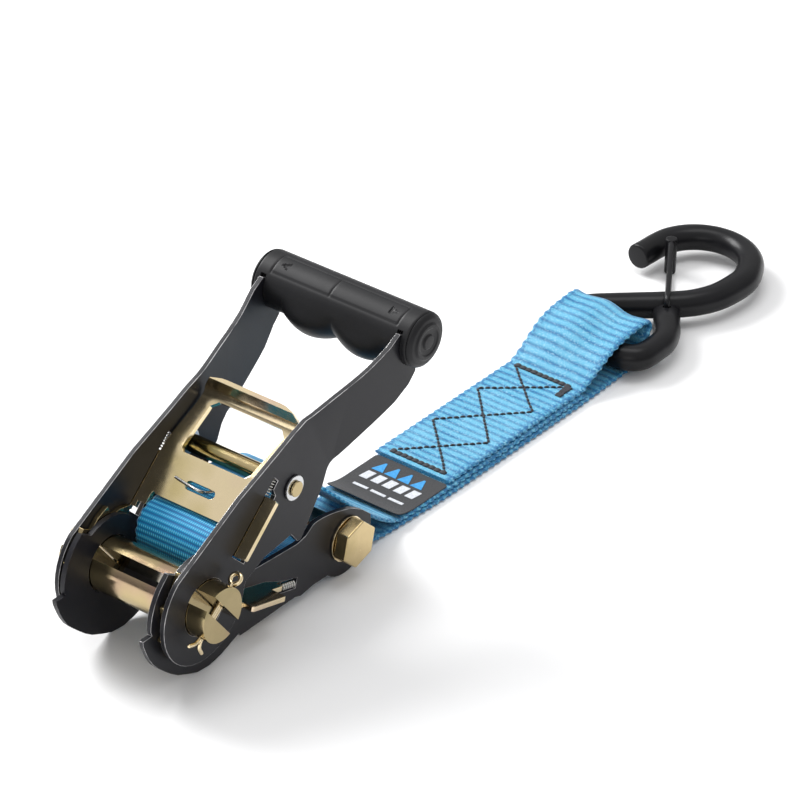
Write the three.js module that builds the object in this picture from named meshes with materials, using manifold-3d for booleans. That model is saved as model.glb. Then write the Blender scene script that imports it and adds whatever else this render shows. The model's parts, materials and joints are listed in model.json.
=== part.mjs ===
// Ratchet tie down: a steel ratchet, a sewn webbing strap and a coated S-hook with a wire keeper.
// Millimetres, +Z up, X along the strap towards the hook, Y across the strap.
// Everything is drawn from the spool axis; the whole group is then moved so that the origin
// lies at the bottom centre of the assembly.
import * as THREE from 'three';
import { mergeVertices } from 'three/addons/utils/BufferGeometryUtils.js';
import Module from 'manifold-3d';

const wasm = await Module();
wasm.setup();

// ---------- driving dimensions ----------
const FLOOR_Z = -35.65;            // the surface the assembly lies on, below the spool axis
const GAP = 0.3;                  // air between pieces that touch

const WEB_WIDTH = 40.6;             // strap webbing
const WEB_THICK = 1.9;

const BASE_INNER = 21.8;          // base plate faces, from the middle plane
const BASE_OUTER = 24.1;
const HANDLE_INNER = 26.9;        // handle plate faces beside the spool
const HANDLE_OUTER = 29.1;
const BORE_RADIUS = 12.7;        // holes that turn on the spool

const SPOOL_RADIUS = 12.3;
const SPOOL_HALF_GAP = 3.3;
const SPOOL_HALF_LENGTH = 38.6;
const SPOOL_SLOT_ANGLE = 39;    // direction square to the spool's slot, degrees above X
const PIN_Y = 35;               // split pins, just outside the handle plates

const TOOTH_COUNT = 10;
const TOOTH_TIP = 25.1;
const TOOTH_ROOT = 20.4;
const TOOTH_CREST_ANGLE = 48;     // tip of one tooth at rest
const WHEEL_INNER = 24.4;
const WHEEL_OUTER = 26.6;

const BOLT_X = 98.9;
const BOLT_Z = -18.05;
const BOLT_RADIUS = 4;
const SPACER_RADIUS = 6.7;
const BOLT_HEAD_ACROSS = 19;
const BOLT_HEAD_THICK = 6.4;
const WASHER = 1;

const HANDLE_ANGLE = 29.6;        // handle line above X at rest
const HANDLE_LENGTH = 146.4;      // spool axis to grip axis
const HANDLE_DISC = 25.7;
const FLARE_START = 85;           // the side plates spread between these two stations
const FLARE_END = 132.5;
const FLARE = 8.2;
const GRIP_RADIUS = 12.4;
const GRIP_HALF = 40.4;
const CAP_HALF = 44;

const HANDLE_PAWL_ANGLE = 42.9;   // the handle pawl slides along this line
const HANDLE_PAWL_DROP = 2.1;     // its mid-plane lies this far below the radial line
const BASE_PAWL_ANGLE = -14.3;
const BASE_PAWL_DROP = 7.2;
const PAWL_THICK = 2.4;
const TOOTH_Y_IN = 24.45;          // pawl teeth, over the ratchet wheels
const TOOTH_Y_OUT = 26.45;
const PRONG_START = 25.9;          // just clear of the wheels' teeth
const HANDLE_TAB_END = 51.6;

const ROD_X = 56.3;               // cross rod of the handle
const ROD_Z = 30.2;
const ROD_RADIUS = 4;
const TENON_RADIUS = 2.8;

const HOOK_BAR_X = 305.5;           // eye bar that the strap's loop goes round
const HOOK_Z = FLOOR_Z + 9.2;
const HOOK_ROD_RADIUS = 6.1;

const CIRCLE_STEPS = 32;

// ---------- materials ----------
const finish = (color, roughness, metalness) =>
  new THREE.MeshStandardMaterial({ color, roughness, metalness });
const blackPaint = () => finish(0x333336, 0.45, 0.3);
const yellowZinc = () => finish(0xd8c690, 0.35, 0.9);
const brightZinc = () => finish(0xc9ccd0, 0.3, 0.9);
const blackPlastic = () => finish(0x2c2c2f, 0.55, 0);
const blackCoat = () => finish(0x2a2b2d, 0.4, 0);
const springSteel = () => finish(0xb8b6ad, 0.3, 0.9);
const blueWeb = () => finish(0x4fb4e4, 0.9, 0);
const labelCloth = () => finish(0x17181a, 0.95, 0);

// ---------- helpers ----------
const rad = THREE.MathUtils.degToRad;

function solid(geometry) {
  const clean = geometry.clone();
  clean.deleteAttribute('normal');
  clean.deleteAttribute('uv');
  const merged = mergeVertices(clean, 1e-4);
  return new wasm.Manifold(new wasm.Mesh({
    numProp: 3,
    vertProperties: new Float32Array(merged.attributes.position.array),
    triVerts: new Uint32Array(merged.index.array),
  }));
}

function toGeometry(manifold) {
  const mesh = manifold.getMesh();
  const geometry = new THREE.BufferGeometry();
  geometry.setAttribute('position', new THREE.BufferAttribute(mesh.vertProperties, 3));
  geometry.setIndex(new THREE.BufferAttribute(mesh.triVerts, 1));
  geometry.computeVertexNormals();
  return geometry;
}

function named(name, geometry, material) {
  const mesh = new THREE.Mesh(geometry, material);
  mesh.name = name;
  return mesh;
}

// A shape drawn in (x, z), extruded across Y from y0 to y1.
function acrossY(shape, y0, y1, curveSegments = 20) {
  const geometry = new THREE.ExtrudeGeometry(shape, {
    depth: y1 - y0, bevelEnabled: false, steps: 1, curveSegments,
  });
  geometry.rotateX(Math.PI / 2);
  geometry.translate(0, y1, 0);
  return geometry;
}

// A shape drawn in (x, y), extruded up Z from z0 to z1.
function upZ(shape, z0, z1, curveSegments = 12) {
  const geometry = new THREE.ExtrudeGeometry(shape, {
    depth: z1 - z0, bevelEnabled: false, steps: 1, curveSegments,
  });
  geometry.translate(0, 0, z0);
  return geometry;
}

function cylinderY(radius, x, z, y0, y1, sides = 32) {
  const geometry = new THREE.CylinderGeometry(radius, radius, y1 - y0, sides);
  geometry.translate(x, (y0 + y1) / 2, z);
  return geometry;
}

function hexPrismY(across, x, z, y0, y1) {
  const geometry = new THREE.CylinderGeometry(across / Math.sqrt(3), across / Math.sqrt(3), y1 - y0, 6);
  geometry.rotateY(rad(12));
  geometry.translate(x, (y0 + y1) / 2, z);
  return geometry;
}

// Round wire or rod along a curve of 3-D points.
function rodAlong(points, radius, steps, sides, tension = 0.5) {
  const path = new THREE.CatmullRomCurve3(points, false, 'catmullrom', tension);
  const section = new THREE.Shape();
  for (let i = 0; i < sides; i += 1) {
    const a = (i / sides) * 2 * Math.PI;
    const x = radius * Math.cos(a);
    const y = radius * Math.sin(a);
    if (i === 0) section.moveTo(x, y);
    else section.lineTo(x, y);
  }
  section.closePath();
  return new THREE.ExtrudeGeometry(section, { steps, bevelEnabled: false, extrudePath: path });
}

function shapeOf(points) {
  return new THREE.Shape(points.map(([x, z]) => new THREE.Vector2(x, z)));
}

// Points of a smooth curve through the given (x, z) points.
function smooth(points, count) {
  const curve = new THREE.SplineCurve(points.map(([x, z]) => new THREE.Vector2(x, z)));
  return curve.getPoints(count).map((at) => [at.x, at.y]);
}

// A band of even thickness whose middle runs through the given (x, z) points, bent at each.
function polylineBand(points, thickness) {
  const side = (sign) => points.map(([x, z], i) => {
    const [x0, z0] = points[Math.max(i - 1, 0)];
    const [x1, z1] = points[Math.min(i + 1, points.length - 1)];
    const before = Math.atan2(z - z0, x - x0);
    const after = Math.atan2(z1 - z, x1 - x);
    const here = i === 0 ? after : i === points.length - 1 ? before : (before + after) / 2;
    const half = i === 0 || i === points.length - 1 ? 0 : (after - before) / 2;
    const reach = (sign * thickness) / 2 / Math.cos(half);
    return [x - reach * Math.sin(here), z + reach * Math.cos(here)];
  });
  return shapeOf([...side(1), ...side(-1).reverse()]);
}

function circleHole(x, z, radius) {
  const hole = new THREE.Path();
  hole.absarc(x, z, radius, 0, 2 * Math.PI, true);
  return hole;
}

function polygonHole(points) {
  return new THREE.Path(points.map(([x, z]) => new THREE.Vector2(x, z)));
}

function arcPoints(cx, cz, radius, from, to, count) {
  const points = [];
  for (let i = 0; i <= count; i += 1) {
    const a = rad(from + ((to - from) * i) / count);
    points.push([cx + radius * Math.cos(a), cz + radius * Math.sin(a)]);
  }
  return points;
}

// The mirror image in the plane Y = 0, with its faces still pointing out.
function mirrored(geometry) {
  const copy = geometry.clone();
  copy.scale(1, -1, 1);
  if (copy.index) {
    const index = copy.index.array;
    for (let i = 0; i < index.length; i += 3) {
      const swap = index[i];
      index[i] = index[i + 1];
      index[i + 1] = swap;
    }
  } else {
    const place = copy.attributes.position;
    for (let i = 0; i < place.count; i += 3) {
      const a = new THREE.Vector3().fromBufferAttribute(place, i);
      const b = new THREE.Vector3().fromBufferAttribute(place, i + 1);
      place.setXYZ(i, b.x, b.y, b.z);
      place.setXYZ(i + 1, a.x, a.y, a.z);
    }
  }
  return copy;
}

// A near piece (Y < 0) and its mirrored far twin.
function pair(parent, name, geometry, material) {
  parent.add(named(`${name}_near`, geometry, material()));
  parent.add(named(`${name}_far`, mirrored(geometry), material()));
}

// ---------- base: two side plates, the strap bolt and its fittings ----------
const base = new THREE.Group();

// Point on the base pawl's line: s along it from the spool, p square to it and downward.
function onBasePawlLine(s, p) {
  const a = rad(BASE_PAWL_ANGLE);
  return [s * Math.cos(a) + p * Math.sin(a), s * Math.sin(a) - p * Math.cos(a)];
}

function basePlateGeometry() {
  const outline = [
    ...arcPoints(0, 0, 21.6, 2, 120, 11),       // the wheels' teeth stand past the hub
    ...arcPoints(0, 0, 28, 127, 180, 7),        // cam that lifts the handle pawl
    [-27.2, -2.2],                              // notch that holds the handle open
    [-32.9, -2.3],
    ...smooth([[-32.6, -4.5], [-30.7, -9.2], [-26.4, -16.8], [-19.1, -23.8], [-10.8, -30], [1.4, -35]], 10),
    [9.4, FLOOR_Z],
    [16.4, -34.4],
    [28.2, -29.9],
    [29.3, -31.35],
    [65.3, -30.9],
    [69.4, -32.2],
    [78.3, -30.9],
    ...arcPoints(BOLT_X, BOLT_Z, BOLT_Z - FLOOR_Z, 228, 372, 14),
    ...smooth([[110.5, -9.6], [103.3, -5.4], [95.2, -2.7], [88.1, -1], [80.1, -0.1], [76.1, -1],
      [72.2, -3.6], [66.2, -4.8]], 14),
    [37.2, -3],
    [25.5, -1],
  ];
  const shape = shapeOf(outline);
  shape.holes.push(circleHole(0, 0, BORE_RADIUS));
  shape.holes.push(circleHole(BOLT_X, BOLT_Z, BOLT_RADIUS + GAP));
  const slot = [[27, 1], [47, 1.4], [60, 4], [70, 4.4], [70, 9.4], [27, 9.4]];
  shape.holes.push(polygonHole(slot.map(([s, p]) => onBasePawlLine(s, p))));
  return acrossY(shape, -BASE_OUTER, -BASE_INNER);
}
pair(base, 'base_plate', basePlateGeometry(), blackPaint);

function boltGeometry() {
  const headOuter = -(BASE_OUTER + GAP + WASHER + GAP + BOLT_HEAD_THICK);
  const head = solid(hexPrismY(BOLT_HEAD_ACROSS, BOLT_X, BOLT_Z, headOuter, headOuter + BOLT_HEAD_THICK));
  const shank = solid(cylinderY(BOLT_RADIUS, BOLT_X, BOLT_Z, headOuter + 1, 36, 24));
  return toGeometry(head.add(shank));
}
base.add(named('strap_bolt', boltGeometry(), yellowZinc()));

function ringY(outer, inner, x, z, y0, y1, sides = 32) {
  const shape = new THREE.Shape();
  shape.absarc(x, z, outer, 0, 2 * Math.PI, false);
  shape.holes.push(circleHole(x, z, inner));
  return acrossY(shape, y0, y1, sides);
}
base.add(named('bolt_spacer',
  ringY(SPACER_RADIUS, BOLT_RADIUS + GAP, BOLT_X, BOLT_Z, -(BASE_INNER - GAP), BASE_INNER - GAP, 12),
  yellowZinc()));
pair(base, 'bolt_washer',
  ringY(10.4, BOLT_RADIUS + GAP, BOLT_X, BOLT_Z, -(BASE_OUTER + GAP + WASHER), -(BASE_OUTER + GAP), 10),
  yellowZinc);

function lockNutGeometry() {
  const inner = BASE_OUTER + GAP + WASHER + GAP;
  const hex = solid(hexPrismY(17, BOLT_X, BOLT_Z, inner, inner + 6.4));
  const collar = solid(cylinderY(7, BOLT_X, BOLT_Z, inner + 6, inner + 8.4, 24));
  const bore = solid(cylinderY(BOLT_RADIUS + 0.15, BOLT_X, BOLT_Z, inner - 1, inner + 12, 24));
  return toGeometry(hex.add(collar).subtract(bore));
}
base.add(named('lock_nut', lockNutGeometry(), yellowZinc()));

// ---------- spool: two half-moon shafts, two toothed wheels and two split pins ----------
const spool = new THREE.Group();
spool.rotation.y = -rad(SPOOL_SLOT_ANGLE);

// Half-moon outline on the +X side of the slot; grow > 0 makes the hole that it passes through.
function halfMoon(grow) {
  const radius = SPOOL_RADIUS + grow;
  const flat = SPOOL_HALF_GAP - grow;
  const limit = THREE.MathUtils.radToDeg(Math.acos(flat / radius));
  return arcPoints(0, 0, radius, -limit, limit, 14);
}

function shaftGeometry(side) {
  const outline = shapeOf(halfMoon(0).map(([x, z]) => [x * side, z]));
  let shaft = solid(acrossY(outline, -SPOOL_HALF_LENGTH, SPOOL_HALF_LENGTH));
  for (const y of [-PIN_Y, PIN_Y]) {
    const bore = new THREE.CylinderGeometry(2.3, 2.3, 40, 16);
    bore.rotateZ(Math.PI / 2);
    bore.translate(0, y, 0);
    shaft = shaft.subtract(solid(bore));
  }
  return toGeometry(shaft);
}
spool.add(named('spool_half_upper', shaftGeometry(1), yellowZinc()));
spool.add(named('spool_half_lower', shaftGeometry(-1), yellowZinc()));

function wheelGeometry() {
  const pitch = 360 / TOOTH_COUNT;
  const first = TOOTH_CREST_ANGLE - SPOOL_SLOT_ANGLE;
  const outline = [];
  for (let i = 0; i < TOOTH_COUNT; i += 1) {
    // steep face first, then the long back of the tooth
    const crest = first + pitch * i;
    outline.push(...arcPoints(0, 0, TOOTH_ROOT, crest - 10, crest - 7.5, 1));
    outline.push(...arcPoints(0, 0, TOOTH_TIP, crest, crest + 1.2, 1));
    outline.push(...arcPoints(0, 0, (TOOTH_TIP + TOOTH_ROOT) / 2, crest + 14, crest + 14.5, 1));
  }
  const shape = shapeOf(outline);
  for (const side of [1, -1]) {
    shape.holes.push(polygonHole(halfMoon(GAP).map(([x, z]) => [x * side, z])));
  }
  return acrossY(shape, -WHEEL_OUTER, -WHEEL_INNER);
}
pair(spool, 'ratchet_wheel', wheelGeometry(), yellowZinc);

function splitPinGeometry() {
  const v = (x, z) => new THREE.Vector3(x, -PIN_Y, z);
  const body = solid(rodAlong([v(-14.4, 0), v(0, 0), v(14.2, 0)], 1.75, 2, 10));
  const eye = solid(rodAlong([v(13.6, -0.6), v(15.6, -2.6), v(18.2, 0), v(15.6, 2.6), v(13.6, 0.6)], 0.95, 8, 6));
  const legDown = solid(rodAlong([v(-13.6, -0.6), v(-15.6, -2.2), v(-16.6, -6)], 0.95, 4, 6));
  const legUp = solid(rodAlong([v(-13.6, 0.6), v(-16.2, 1.8), v(-18, 4.6)], 0.95, 4, 6));
  return toGeometry(body.add(eye).add(legDown).add(legUp));
}
pair(spool, 'split_pin', splitPinGeometry(), yellowZinc);

// ---------- handle: two flared side plates, the grip, a cross rod and the sliding pawl ----------
const handle = new THREE.Group();
handle.rotation.y = -rad(HANDLE_ANGLE);
const pawlTurn = HANDLE_PAWL_ANGLE - HANDLE_ANGLE;

// Point given along the handle pawl's line, in the handle's own (u, v).
function onHandlePawlLine(s, p) {
  const a = rad(pawlTurn);
  return [s * Math.cos(a) + p * Math.sin(a), s * Math.sin(a) - p * Math.cos(a)];
}

function rodPlace() {
  const a = rad(HANDLE_ANGLE);
  return [ROD_X * Math.cos(a) + ROD_Z * Math.sin(a), -ROD_X * Math.sin(a) + ROD_Z * Math.cos(a)];
}
const [ROD_U, ROD_V] = rodPlace();

function handlePlateGeometry() {
  const outline = [
    ...arcPoints(0, 0, HANDLE_DISC, 101, 326, 28),
    [23.4, -13.7],
    [36, -14.8],
    [52.2, -21.4],
    [53.2, -28],
    [54.6, -29.2],
    [56.6, -28.8],
    [66.3, -24.1],
    [76.7, -19.3],
    ...smooth([[82.3, -14.9], [86.4, -13.6], [91.5, -14.6], [101.9, -15.7], [114.6, -16.9],
      [125.1, -17.1], [138.2, -13.8]], 10),
    [140.8, -9.2],
    ...arcPoints(HANDLE_LENGTH, 0, 7.6, -62, 62, 8),
    [140.8, 9.2],
    [139.6, 11.4],
    ...smooth([[131, 11.3], [121.7, 11.2], [113, 12.3], [100.7, 15], [89.9, 17.2], [81, 19.5],
      [61.8, 21.6], [40, 24.4]], 12),
  ];
  const shape = shapeOf(outline);
  shape.holes.push(circleHole(0, 0, BORE_RADIUS));
  shape.holes.push(circleHole(ROD_U, ROD_V, TENON_RADIUS + GAP));
  shape.holes.push(circleHole(HANDLE_LENGTH, 0, 3.3));
  const slot = [[23.3, 0.3], [60, 0.3], [60, 3.9], [55.8, 4.2], [54.4, 7.8], [24, 10.8]];
  shape.holes.push(polygonHole(slot.map(([s, p]) => onHandlePawlLine(s, p))));
  const prism = solid(acrossY(shape, -60, -10));
  // the plate's bent ribbon, seen from above
  const thick = HANDLE_OUTER - HANDLE_INNER;
  const ribbon = shapeOf([
    [-40, -HANDLE_OUTER],
    [FLARE_START, -HANDLE_OUTER],
    [FLARE_END, -HANDLE_OUTER - FLARE],
    [170, -HANDLE_OUTER - FLARE],
    [170, -HANDLE_OUTER - FLARE + thick],
    [FLARE_END, -HANDLE_OUTER - FLARE + thick],
    [FLARE_START, -HANDLE_OUTER + thick],
    [-40, -HANDLE_OUTER + thick],
  ]);
  return toGeometry(prism.intersect(solid(upZ(ribbon, -50, 50))));
}
pair(handle, 'handle_plate', handlePlateGeometry(), blackPaint);

const TONGUE_OUTER = HANDLE_OUTER + FLARE;
const TONGUE_INNER = HANDLE_INNER + FLARE;

function gripGeometry() {
  let body = solid(cylinderY(GRIP_RADIUS, HANDLE_LENGTH, 0, -GRIP_HALF, GRIP_HALF, CIRCLE_STEPS));
  // finger bulges on the side that is pulled
  for (const y of [-13.2, 8.6]) {
    const bulge = new THREE.SphereGeometry(1, 16, 10);
    bulge.scale(13.4, 10.6, 13.4);
    const a = rad(-150);
    bulge.translate(HANDLE_LENGTH + 4.2 * Math.cos(a), y, 4.2 * Math.sin(a));
    body = body.add(solid(bulge));
  }
  body = body.subtract(solid(cylinderY(3.6, HANDLE_LENGTH, 0, -50, 50, 20)));
  // slits for the ends of the side plates
  const slit = shapeOf([
    [120, -18], [139.6, -18], [141.6, -9.6], [149, -8.6], [154.4, -4.6], [154.4, 4.6], [149, 8.6],
    [141.6, 9.6], [141.6, 13.5], [120, 13.5],
  ]);
  const slitSolid = solid(acrossY(slit, -TONGUE_OUTER - GAP, -TONGUE_INNER + GAP));
  body = body.subtract(slitSolid).subtract(solid(mirrored(acrossY(slit, -TONGUE_OUTER - GAP,
    -TONGUE_INNER + GAP))));
  return toGeometry(body);
}
handle.add(named('grip', gripGeometry(), blackPlastic()));

function capGeometry() {
  const profile = [
    [0, 2.2], [3.2, 2.2], [3.4, 3.1], [6.2, 3.1], [6.4, 3.6], [8.6, 3.3], [10.6, 2.3],
    [11.7, 1.2], [12.2, GAP], [0, GAP],
  ].map(([r, y]) => new THREE.Vector2(r, y));
  const geometry = new THREE.LatheGeometry(profile.reverse(), 32);
  geometry.rotateX(Math.PI);
  geometry.translate(HANDLE_LENGTH, -GRIP_HALF, 0);
  return geometry;
}
pair(handle, 'grip_cap', capGeometry(), blackPlastic);
handle.add(named('grip_rod', cylinderY(3, HANDLE_LENGTH, 0, -(GRIP_HALF - 0.4), GRIP_HALF - 0.4, 20),
  brightZinc()));

function crossRodGeometry() {
  const inner = HANDLE_INNER - GAP - 1.2 - GAP;
  const outer = HANDLE_OUTER + GAP + 1.1 + GAP;
  let rod = solid(cylinderY(ROD_RADIUS, ROD_U, ROD_V, -inner, inner, 24));
  rod = rod.add(solid(cylinderY(TENON_RADIUS, ROD_U, ROD_V, -(outer + 0.5), outer + 0.5, 24)));
  for (const side of [-1, 1]) {
    const y = [side * outer, side * (outer + 1)].sort((a, b) => a - b);
    rod = rod.add(solid(cylinderY(3.5, ROD_U, ROD_V, y[0], y[1], 24)));
  }
  return toGeometry(rod);
}
handle.add(named('cross_rod', crossRodGeometry(), yellowZinc()));
pair(handle, 'rod_outer_washer',
  ringY(5.6, TENON_RADIUS + GAP, ROD_U, ROD_V, -(HANDLE_OUTER + GAP + 1.1), -(HANDLE_OUTER + GAP), 10),
  brightZinc);
pair(handle, 'rod_inner_washer',
  ringY(6, TENON_RADIUS + GAP, ROD_U, ROD_V, -(HANDLE_INNER - GAP), -(HANDLE_INNER - GAP - 1.2), 10),
  brightZinc);

// ---------- handle pawl: a plate with two teeth, two tabs and a finger loop ----------
const handlePawl = new THREE.Group();
handlePawl.rotation.y = -rad(HANDLE_PAWL_ANGLE);

// Outline of one half in (s, y); the plate is symmetric about y = 0.
function mirroredOutline(half) {
  return [...half, ...half.map(([s, y]) => [s, -y]).reverse()];
}

function handlePawlGeometry() {
  const top = PAWL_THICK / 2 - HANDLE_PAWL_DROP;
  const bottom = top - PAWL_THICK;
  const outline = shapeOf(mirroredOutline([
    [34, 0], [34, 18.4], [34.8, 19.8], [33.6, 20.5], [28.6, 20.5], [28.6, TOOTH_Y_IN], [PRONG_START, TOOTH_Y_IN],
    [PRONG_START, 26.76], [24.2, 26.76], [24.2, 34.4], [24.8, 35], [HANDLE_TAB_END - 0.6, 35],
    [HANDLE_TAB_END, 34.4], [HANDLE_TAB_END, TOOTH_Y_OUT], [60, 26.2], [80, 26], [84.6, 25], [87.8, 21.6], [89.2, 17], [89.6, 12], [89.6, 0],
  ]));
  const prism = solid(upZ(outline, -40, 30));
  // stations along the pawl and the height of its mid-surface: the arms dip, the finger bar curls up
  const run = [[15, 0], [56, 0], [60, -1], [76, -6.2], [80, -7], [83, -6.2], [85.6, -3.6], [88.4, 1]];
  const middle = bottom + PAWL_THICK / 2;
  const ribbon = polylineBand(run.map(([x, z]) => [x, z + middle]), PAWL_THICK);
  let plate = prism.intersect(solid(acrossY(ribbon, -50, 50)));
  const window = shapeOf([
    [54.8, -16.4], [56.4, -18], [77.6, -19.6], [80.6, -16.6], [80.6, 16.6], [77.6, 19.6], [56.4, 18],
    [54.8, 16.4],
  ]);
  const slot = new THREE.Shape();
  slot.absarc(43, 5.8, 2, 0, Math.PI, false);
  slot.absarc(43, -5.5, 2, Math.PI, 2 * Math.PI, false);
  slot.closePath();
  plate = plate.subtract(solid(upZ(window, -40, 30)));
  plate = plate.subtract(solid(upZ(slot, -40, 30, 8)));
  return toGeometry(plate);
}
handlePawl.add(named('handle_pawl', handlePawlGeometry(), yellowZinc()));

// Small compression spring in a plate's slot, between its closed end and the pawl's tab.
function slotSpring(from, to, y, z, coil, wire, turns) {
  const perTurn = 6;
  const points = [];
  for (let i = 0; i <= turns * perTurn; i += 1) {
    const a = (2 * Math.PI * i) / perTurn;
    const x = from + wire + ((to - from - 2 * wire) * i) / (turns * perTurn);
    points.push(new THREE.Vector3(x, y + coil * Math.cos(a), z + coil * Math.sin(a)));
  }
  return rodAlong(points, wire, turns * 8, 4);
}
const handleSprings = new THREE.Group();
handleSprings.rotation.y = -rad(HANDLE_PAWL_ANGLE);
pair(handleSprings, 'handle_pawl_spring',
  slotSpring(HANDLE_TAB_END + 0.3, 59.7, -28, -HANDLE_PAWL_DROP, 1.05, 0.25, 6), springSteel);

// Torsion spring wound on the cross rod; its free end comes up through the pawl's small slot.
function torsionSpringGeometry() {
  const a = rad(HANDLE_PAWL_ANGLE);
  const rodS = ROD_X * Math.cos(a) + ROD_Z * Math.sin(a);
  const rodH = -ROD_X * Math.sin(a) + ROD_Z * Math.cos(a);
  const coil = ROD_RADIUS + GAP + 0.7;
  const points = [];
  for (let i = 0; i <= 32; i += 1) {
    const turn = rad(100 + i * 45);
    points.push(new THREE.Vector3(rodS + coil * Math.cos(turn), -20.6 + i * 0.2, rodH + coil * Math.sin(turn)));
  }
  const over = PAWL_THICK / 2 - HANDLE_PAWL_DROP + GAP + 0.7;
  points.push(new THREE.Vector3(48, -4.5, rodH + 8.4));
  points.push(new THREE.Vector3(43.6, -1.2, over - 4.4));
  points.push(new THREE.Vector3(42.7, -0.8, over - 1.4));
  points.push(new THREE.Vector3(42.4, 0.8, over + 0.1));
  points.push(new THREE.Vector3(42.6, 4, over));
  points.push(new THREE.Vector3(43.7, 13, over));
  return rodAlong(points, 0.65, 84, 5);
}
handleSprings.add(named('pawl_torsion_spring', torsionSpringGeometry(), springSteel()));

// ---------- base pawl: a plate that slides in slots of the base plates ----------
const basePawl = new THREE.Group();
basePawl.rotation.y = -rad(BASE_PAWL_ANGLE);

function basePawlGeometry() {
  const top = PAWL_THICK / 2 - BASE_PAWL_DROP;
  const bottom = top - PAWL_THICK;
  const outline = shapeOf(mirroredOutline([
    [34, 0], [34, 20.2], [32.6, 21.4], [31, 21.4], [31, TOOTH_Y_IN], [PRONG_START, TOOTH_Y_IN], [PRONG_START, TOOTH_Y_OUT],
    [30.6, TOOTH_Y_OUT], [30.6, 31.2], [31.4, 32], [52.2, 32], [53, 31.2], [53, 24.4], [60, 24.4], [60, 21.4],
    [63.2, 21], [64, 20], [64, 0],
  ]));
  return upZ(outline, bottom, top);
}
basePawl.add(named('base_pawl', basePawlGeometry(), yellowZinc()));

const baseSprings = new THREE.Group();
baseSprings.rotation.y = -rad(BASE_PAWL_ANGLE);
pair(baseSprings, 'base_pawl_spring',
  slotSpring(60.3, 69.7, -23, -BASE_PAWL_DROP, 1.35, 0.4, 6), springSteel);

// ---------- strap ----------
const strap = new THREE.Group();
const HALF_WEB = WEB_WIDTH / 2;
const STRAP_START = 143;           // the strap bends up about this line
const STRAP_TOP = FLOOR_Z + 3 * WEB_THICK + 0.2;
const RAW_END_X = 177;             // cut end of the top layer
const SEAM_END_X = 277;            // the layers part here for the hook's loop

// A band of even thickness along a smooth run of (x, z) points.
function bandShape(points, thickness, count) {
  const curve = new THREE.CatmullRomCurve3(points.map(([x, z]) => new THREE.Vector3(x, 0, z)), false,
    'centripetal');
  const outer = [];
  const inner = [];
  for (let i = 0; i <= count; i += 1) {
    const at = curve.getPoint(i / count);
    const along = curve.getTangent(i / count);
    outer.push([at.x - along.z * (thickness / 2), at.z + along.x * (thickness / 2)]);
    inner.push([at.x + along.z * (thickness / 2), at.z - along.x * (thickness / 2)]);
  }
  return shapeOf([...outer, ...inner.reverse()]);
}

// The part of a solid between two stations along the strap.
function between(manifold, from, to) {
  const block = new THREE.BoxGeometry(to - from, 200, 300);
  block.translate((from + to) / 2, 0, 0);
  return manifold.intersect(solid(block));
}

// Loose loop that goes round the bolt's spacer and puffs forward behind the spool.
function ratchetLoopGeometry() {
  const low = FLOOR_Z + WEB_THICK / 2 + 0.05;
  const route = [
    [STRAP_START + 2, low], [131, low + 0.2], [115, low + 2.6], [104, -28.2], [95.3, -25.7], [84, -20.4], [70, -12.6],
    [45, -5], [28, -2.4], [18, 0.4], [15.4, 7], [17.4, 14.5], [23, 18.5], [40, 18.9], [62, 18.2], [75, 16],
    [85, 12.4], [96, 3], [108.5, -9], [123, -21], [135, -29.3], [STRAP_START + 2, low + WEB_THICK + 0.1],
  ];
  const band = solid(acrossY(bandShape(route, WEB_THICK, 56), -HALF_WEB, HALF_WEB));
  return toGeometry(between(band, -100, STRAP_START - GAP));
}
strap.add(named('ratchet_loop', ratchetLoopGeometry(), blueWeb()));

// Three layers sewn together, lying on the floor.
function sewnSectionGeometry() {
  const shape = shapeOf([
    [STRAP_START, FLOOR_Z + 0.05], [SEAM_END_X, FLOOR_Z + 0.05], [SEAM_END_X, STRAP_TOP], [RAW_END_X, STRAP_TOP],
    [RAW_END_X, STRAP_TOP - WEB_THICK], [STRAP_START, STRAP_TOP - WEB_THICK],
  ]);
  return acrossY(shape, -HALF_WEB, HALF_WEB);
}
strap.add(named('sewn_section', sewnSectionGeometry(), blueWeb()));

function labelGeometry() {
  const label = new THREE.BoxGeometry(RAW_END_X - STRAP_START - 2.6, 39, 0.7);
  label.translate((RAW_END_X + STRAP_START + 0.8) / 2, 0, STRAP_TOP - WEB_THICK + GAP + 0.35);
  return label;
}
strap.add(named('woven_label', labelGeometry(), labelCloth()));

// Loop round the hook's eye bar.
function hookLoopGeometry() {
  const low = FLOOR_Z + WEB_THICK / 2 + 0.12;
  const route = [
    [SEAM_END_X - 1.2, low], [296, low], [312.6, low + 0.2], [317.2, low + 2.4], [319.8, low + 7.6],
    [319.4, low + 14], [315.8, low + 18.2], [308.6, low + 19.3], [300.4, low + 19.2], [293.4, low + 16.9],
    [286.6, low + 11.8], [281, low + 6.8], [SEAM_END_X - 1.2, low + 3.4],
  ];
  const band = solid(acrossY(bandShape(route, WEB_THICK, 40), -HALF_WEB, HALF_WEB));
  return toGeometry(between(band, SEAM_END_X + GAP, 400));
}
strap.add(named('hook_loop', hookLoopGeometry(), blueWeb()));

// ---------- hook ----------
const hook = new THREE.Group();
const EYE_END = new THREE.Vector2(348.8, -13.1);   // centre of the flattened, drilled eye end

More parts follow.
